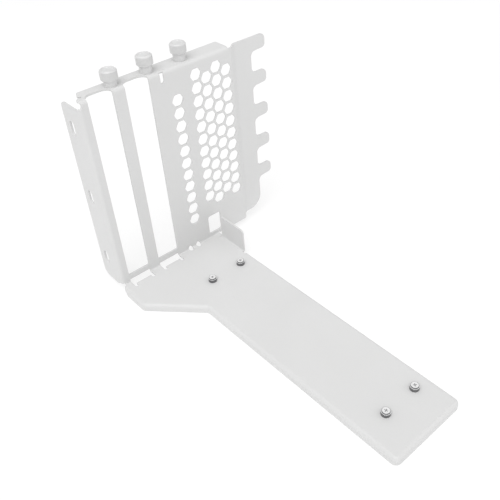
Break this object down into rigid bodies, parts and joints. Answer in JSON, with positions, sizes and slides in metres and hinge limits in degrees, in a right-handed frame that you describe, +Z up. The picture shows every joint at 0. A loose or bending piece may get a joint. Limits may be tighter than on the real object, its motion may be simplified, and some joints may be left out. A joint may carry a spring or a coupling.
{
  "type": "vertical gpu mount",
  "caption": "Folded sheet-steel mount that holds an expansion card upright: slotted rear panel with hex vents and hooks, side flange, thumb screws and a long riser tray.",
  "frame": {"origin": "bottom centre of the whole mount's bounding box, level with the lower edge of the tray's rim", "axes": "+X along the panel from the flange to the hooks, +Y to the back of the chassis (away from the tray's free end), +Z up"},
  "size_m": [0.1168, 0.1978, 0.1275],
  "materials": {
    "coated_sheet": "fine-texture matt white powder coat",
    "coated_screw": "satin white coat on knurled heads",
    "plated_standoff": "bright zinc plate, turned",
    "plated_screw": "bright nickel plate"
  },
  "bodies": {
    "root": {"bracket_body": "coated_sheet", "thumb_screw_1": "coated_screw", "thumb_screw_2": "coated_screw", "thumb_screw_3": "coated_screw", "riser_standoff_1": "plated_standoff", "riser_standoff_2": "plated_standoff", "riser_standoff_3": "plated_standoff", "riser_standoff_4": "plated_standoff", "riser_screw_1": "plated_screw", "riser_screw_2": "plated_screw", "riser_screw_3": "plated_screw", "riser_screw_4": "plated_screw"}
  },
  "joints": []
}
